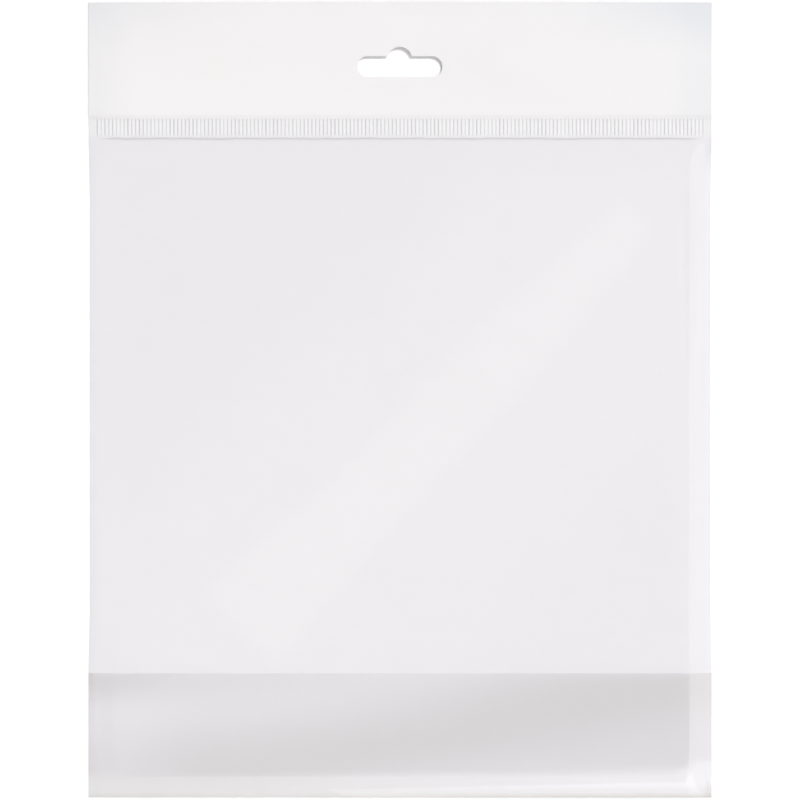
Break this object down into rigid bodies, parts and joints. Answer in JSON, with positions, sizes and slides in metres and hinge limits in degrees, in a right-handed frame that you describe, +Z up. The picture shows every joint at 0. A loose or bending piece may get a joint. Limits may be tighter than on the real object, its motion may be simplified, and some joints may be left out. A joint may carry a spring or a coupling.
{
  "type": "self-seal header bag",
  "caption": "Flat clear film bag with a milky hanging header, euro slot, ribbed cross weld, side seals and a wide flap stuck up over its front; it packs small goods for hanging display.",
  "frame": {"origin": "on the surface under the bag, at the middle of its width and of its length with the flap folded", "axes": "+Y along the bag towards the hanging header, +X to the right when the front is looked at with the header at the top, +Z up, out of the front"},
  "size_m": [0.235, 0.3, 0.0014],
  "materials": {
    "clear_film": "clear, glossy oriented polypropylene film",
    "milky_film": "milky, satin cast polypropylene strip",
    "clear_adhesive": "clear, tacky pressure-sensitive adhesive"
  },
  "bodies": {
    "root": {"bag_film": "clear_film", "header_strip": "milky_film", "adhesive_strip": "clear_adhesive"}
  },
  "joints": []
}
